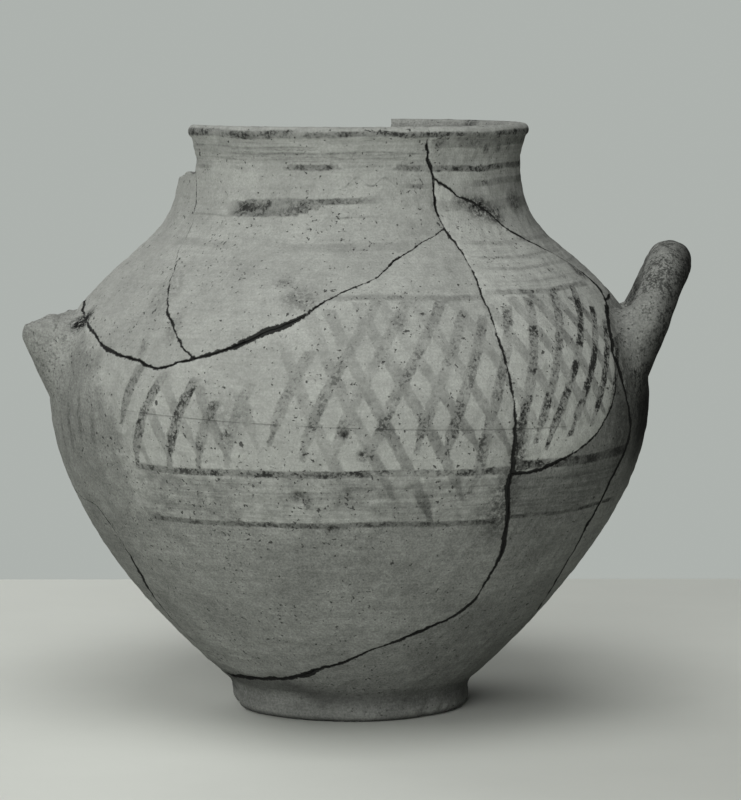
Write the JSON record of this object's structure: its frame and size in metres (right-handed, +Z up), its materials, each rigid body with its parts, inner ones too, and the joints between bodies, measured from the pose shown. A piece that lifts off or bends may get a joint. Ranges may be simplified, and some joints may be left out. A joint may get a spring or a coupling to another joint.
{
  "type": "amphora krater",
  "caption": "Wide-mouthed footed clay pot with a loop handle and a broken one, mended from sherds and painted with bands and a lattice.",
  "frame": {"origin": "centre of the flat ring that the foot stands on", "axes": "+Z up along the pot's axis; the painted front faces -Y; the whole handle is on +X"},
  "size_m": [0.3987, 0.36, 0.3499],
  "materials": {
    "painted_clay": "matt fired clay, worn painted bands and lattice",
    "bare_clay": "matt fired clay, hand-rubbed and pitted",
    "old_adhesive": "dark, brittle, dirty"
  },
  "bodies": {
    "root": {"front_neck_sherd": "painted_clay", "right_neck_sherd": "painted_clay", "rear_rim_sherd": "painted_clay", "left_shoulder_sherd": "painted_clay", "right_shoulder_sherd": "painted_clay", "rear_shoulder_sherd": "painted_clay", "front_body_sherd": "painted_clay", "right_rear_sherd": "painted_clay", "rear_left_sherd": "painted_clay", "base_sherd": "painted_clay", "foot_ring": "bare_clay", "right_handle": "bare_clay", "left_handle_front_stub": "bare_clay", "left_handle_rear_stub": "bare_clay", "neck_adhesive": "old_adhesive", "shoulder_adhesive": "old_adhesive", "body_adhesive": "old_adhesive", "base_adhesive": "old_adhesive", "rear_adhesive": "old_adhesive"}
  },
  "joints": []
}
